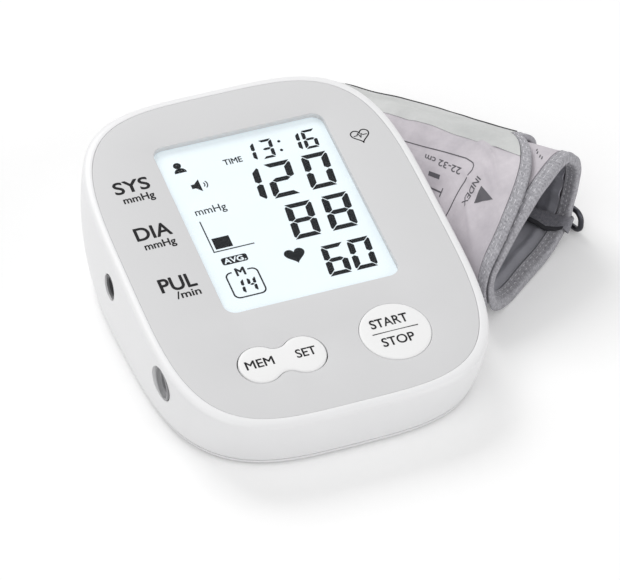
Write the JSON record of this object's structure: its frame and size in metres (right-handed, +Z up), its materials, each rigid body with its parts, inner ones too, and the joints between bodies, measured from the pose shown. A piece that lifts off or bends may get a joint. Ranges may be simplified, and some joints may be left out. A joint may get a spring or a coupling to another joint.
{
  "type": "blood pressure monitor",
  "caption": "Desk blood pressure monitor with a slanted face, segment display, round start button, rocking memory and set key, air socket, and a rolled arm cuff beside it.",
  "frame": {"origin": "on the flat underside of the case, at the middle of its width and 70 mm behind its front edge; the rubber feet reach 1 mm below it", "axes": "+Z up, +Y from the user's side to the back, +X to the right as the user sees it; the cuff stands to the right"},
  "size_m": [0.1691, 0.1752, 0.0467],
  "materials": {
    "case_white": "satin",
    "panel_grey": "fine matt",
    "clear_window": "clear, polished",
    "display_glass": "polished",
    "backlight_white": "milky",
    "contact_rubber": "matt",
    "key_white": "satin",
    "dome_rubber": "matt",
    "board_green": "solder mask",
    "part_black": "matt",
    "screw_steel": "zinc plated",
    "cell_wrap": "plain wrapped cell",
    "contact_plate": "nickel plated",
    "socket_grey": "satin",
    "jack_black": "satin",
    "pump_plastic": "satin",
    "pump_rubber": "matt",
    "pump_steel": "zinc plated",
    "tube_rubber": "milky",
    "foot_rubber": "matt",
    "cuff_cloth": "brushed nylon",
    "lining_cloth": "woven nylon",
    "binding_tape": "ribbed tape",
    "bladder_rubber": "matt",
    "hook_tape": "hook side",
    "ring_metal": "dark, smooth",
    "port_plastic": "satin"
  },
  "bodies": {
    "monitor": {"top_cover": "case_white", "bottom_cover": "case_white", "face_panel": "panel_grey", "screen_lens": "clear_window", "lcd_glass": "display_glass", "lcd_backlight": "backlight_white", "lcd_contact_strip": "contact_rubber", "start_dome": "dome_rubber", "memory_dome": "dome_rubber", "set_dome": "dome_rubber", "main_board": "board_green", "buzzer": "part_black", "pressure_sensor": "part_black", "board_screw_1": "screw_steel", "board_screw_2": "screw_steel", "case_screw_1": "screw_steel", "case_screw_2": "screw_steel", "case_screw_3": "screw_steel", "case_screw_4": "screw_steel", "battery_1": "cell_wrap", "battery_2": "cell_wrap", "battery_3": "cell_wrap", "battery_4": "cell_wrap", "contact_back_left": "contact_plate", "contact_back_right": "contact_plate", "contact_front_left": "contact_plate", "contact_front_middle": "contact_plate", "contact_front_right": "contact_plate", "air_socket": "socket_grey", "dc_jack": "jack_black", "pump_valve_cover": "pump_plastic", "pump_crank_case": "pump_plastic", "air_manifold": "pump_plastic", "pump_diaphragm": "pump_rubber", "pump_motor_can": "pump_steel", "release_valve": "pump_steel", "valve_hose": "tube_rubber", "pump_hose": "tube_rubber", "socket_hose": "tube_rubber", "sensor_hose": "tube_rubber", "rubber_foot_1": "foot_rubber", "rubber_foot_2": "foot_rubber", "rubber_foot_3": "foot_rubber", "rubber_foot_4": "foot_rubber", "cuff_shell": "cuff_cloth", "cuff_flap": "cuff_cloth", "cuff_lining": "lining_cloth", "cuff_ring_loop": "lining_cloth", "cuff_near_binding": "binding_tape", "cuff_far_binding": "binding_tape", "cuff_flap_binding": "binding_tape", "cuff_bladder": "bladder_rubber", "cuff_hook_tape": "hook_tape", "cuff_hose_port": "port_plastic"},
    "start_button": {"start_stop_button": "key_white"},
    "memory_set_key": {"memory_set_key": "key_white"},
    "battery_door": {"battery_door": "case_white"},
    "fastening_ring": {"cuff_ring": "ring_metal"},
    "pump_rotor": {"pump_rotor": "pump_steel"},
    "valve_plunger": {"valve_plunger": "pump_steel"}
  },
  "joints": [
    {"name": "start_press", "type": "slide", "parent": "monitor", "child": "start_button", "axis": [0, 0.1736, -0.9848], "range_m": [0, 0.001], "stiffness_N_per_m": 900, "deforming": ["start_dome"]},
    {"name": "key_rock", "type": "hinge", "parent": "monitor", "child": "memory_set_key", "pos_m": [-0.01735, -0.04474, 0.02033], "axis": [0, 0.9848, 0.1736], "range_deg": [-4, 4], "stiffness_Nm_per_rad": 0.1, "deforming": ["memory_dome", "set_dome"]},
    {"name": "door_swing", "type": "hinge", "parent": "monitor", "child": "battery_door", "pos_m": [-0.001, 0.0049, 0.0003], "axis": [-1, 0, 0], "range_deg": [0, 60]},
    {"name": "ring_swing", "type": "hinge", "parent": "monitor", "child": "fastening_ring", "pos_m": [0.111, 0.008, 0.00795], "axis": [-0.282, 0.9594, 0], "range_deg": [-75, 40]},
    {"name": "rotor_spin", "type": "hinge", "parent": "monitor", "child": "pump_rotor", "pos_m": [0.0418, 0.0268, 0.0124], "axis": [0, 1, 0], "continuous": true},
    {"name": "plunger_slide", "type": "slide", "parent": "monitor", "child": "valve_plunger", "axis": [-1, 0, 0], "range_m": [0, 0.0008], "stiffness_N_per_m": 600}
  ]
}
